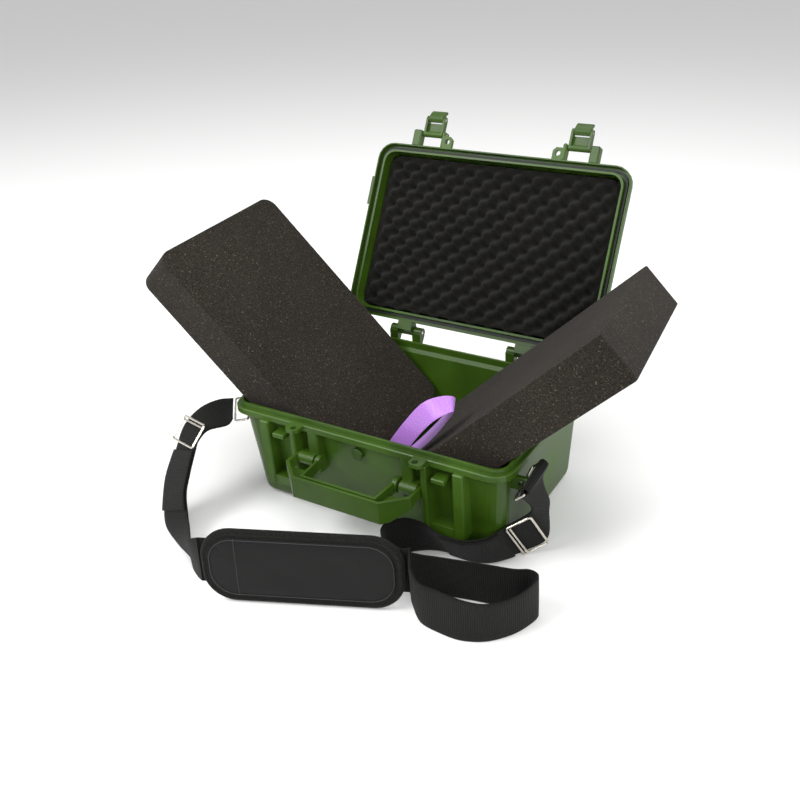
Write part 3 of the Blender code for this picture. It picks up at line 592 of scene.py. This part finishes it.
def pad_binding():
    """Tape folded round the pad's rim, 7 mm wide on each face."""
    clear_selection()
    bpy.ops.mesh.primitive_torus_add(major_segments=220, minor_segments=16,
                                     major_radius=1.0, minor_radius=0.25)
    made = added("pad_binding", BINDING)
    reach_x, reach_y, corner = PAD[0] / 2 - 0.0038, PAD[1] / 2 - 0.0038, 0.0295
    for vert in made.data.vertices:
        around = math.atan2(vert.co.y, vert.co.x)
        out = (math.hypot(vert.co.x, vert.co.y) - 1.0) / 0.25
        up = vert.co.z / 0.25
        spot = outline_point(*on_square(around), reach_x, reach_y, corner)
        inner = Vector((max(-reach_x + corner, min(reach_x - corner, spot.x)),
                        max(-reach_y + corner, min(reach_y - corner, spot.y))))
        way = (spot - inner).normalized()
        pucker = 1 + 0.05 * noise.noise(Vector((spot.x * 260, spot.y * 260, 0)))
        flat = spot + way * out * 0.0036
        vert.co = (*flat, up * 0.0041 * pucker)
    set_in_place(made, PAD_PLACE)
    smooth(made)
    return made


def thread(name, points, closed):
    """A line of sewing thread through points on the flat pad."""
    line = bpy.data.curves.new(name, "CURVE")
    line.dimensions = "3D"
    line.bevel_depth = 0.00035
    line.bevel_resolution = 2
    path = line.splines.new("POLY")
    path.points.add(len(points) - 1)
    path.use_cyclic_u = closed
    for spot, point in zip(path.points, points):
        spot.co = (*(PAD_PLACE @ Vector(point)), 1)
    made = bpy.data.objects.new(name, line)
    made.data.materials.append(THREAD)
    bpy.context.scene.collection.objects.link(made)
    return made


pad_body = pad_layer("pad_body", BINDING, 0.1003, 0.0383, 0.0295, 0.0030, 0.0010, 0.0066)
pad_panel = pad_layer("pad_panel", PANEL, 0.0955, 0.0335, 0.0265, 0.0038, 0.0026, 0.0016)
pad_edge = pad_binding()
hem_points = []
for i in range(260):
    ray = on_square(2 * math.pi * i / 260)
    lift = 0.0004 if i % 2 else 0
    hem_points.append((*outline_point(*ray, 0.0938, 0.0318, 0.0255), 0.0052 + lift))
hem = thread("pad_hem_thread", hem_points, True)
seam_points = []
for i in range(41):
    dip = 0.0012 * (abs(i - 20) / 20) ** 4
    seam_points.append((-0.066, -0.033 + 0.066 * i / 40, 0.0060 + 0.0005 * (i % 2) - dip))
seam = thread("pad_cross_seam", seam_points, False)


# What moves with what, and what each piece stands for

for piece, nodes, slot in (
        (webbing, ("strap_webbing",), "black_webbing"),
        (tail_left, ("strap_tail_left",), "black_webbing"),
        (tail_right, ("strap_tail_right",), "black_webbing"),
        (ribbon, ("foam_pull_ribbon",), "purple_ribbon"),
        (pad_body, ("shoulder_pad",), "black_webbing"),
        (pad_panel, ("shoulder_pad_panel",), "black_gasket_rubber"),
        (pad_edge, (), "black_webbing"),
        (hem, (), "black_webbing"),
        (seam, (), "black_webbing")):
    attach(piece, "base")
    if nodes:
        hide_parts(*nodes)
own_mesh(ribbon)


# Floor, light and camera

# Matt background paper
def floor_paper():
    look = Look("floor_paper", 0.9)
    look.wear(Base_Color=colour("F6F6F5"))
    return look.made


clear_selection()
bpy.ops.mesh.primitive_plane_add(size=30.0, location=(0, 0, -0.0005))
floor = added("floor", floor_paper())

world = bpy.data.worlds.new("studio")
bpy.context.scene.world = world
world.use_nodes = True
world.node_tree.nodes["Background"].inputs["Color"].default_value = colour("FBFBFC")
world.node_tree.nodes["Background"].inputs["Strength"].default_value = 0.62


CASE_MIDDLE = Vector((0, 0, 0.1))


def soft_box(name, place, size, power):
    """A square area light at a place, aimed at the case."""
    light = bpy.data.lights.new(name, "AREA")
    light.size = size
    light.energy = power
    made = bpy.data.objects.new(name, light)
    made.location = place
    made.rotation_euler = (CASE_MIDDLE - Vector(place)).to_track_quat("-Z", "Y").to_euler()
    bpy.context.scene.collection.objects.link(made)


soft_box("key", (-1.1, -1.5, 1.9), 1.2, 42)
soft_box("fill", (1.7, -1.2, 1.3), 1.4, 34)
soft_box("top", (0.1, 0.4, 2.2), 1.6, 26)

lens = bpy.data.cameras.new("front_right_camera")
lens.sensor_width = 36.0
lens.lens = 39.57
lens.shift_x = -0.101
lens.shift_y = -0.0577
camera = bpy.data.objects.new("front_right_camera", lens)
camera.location = (0.4975, -0.7585, 0.6187)
camera.rotation_euler = [math.radians(a) for a in (63.599, 1.245, 27.556)]
bpy.context.scene.collection.objects.link(camera)
bpy.context.scene.camera = camera
bpy.context.scene.view_settings.view_transform = "Standard"
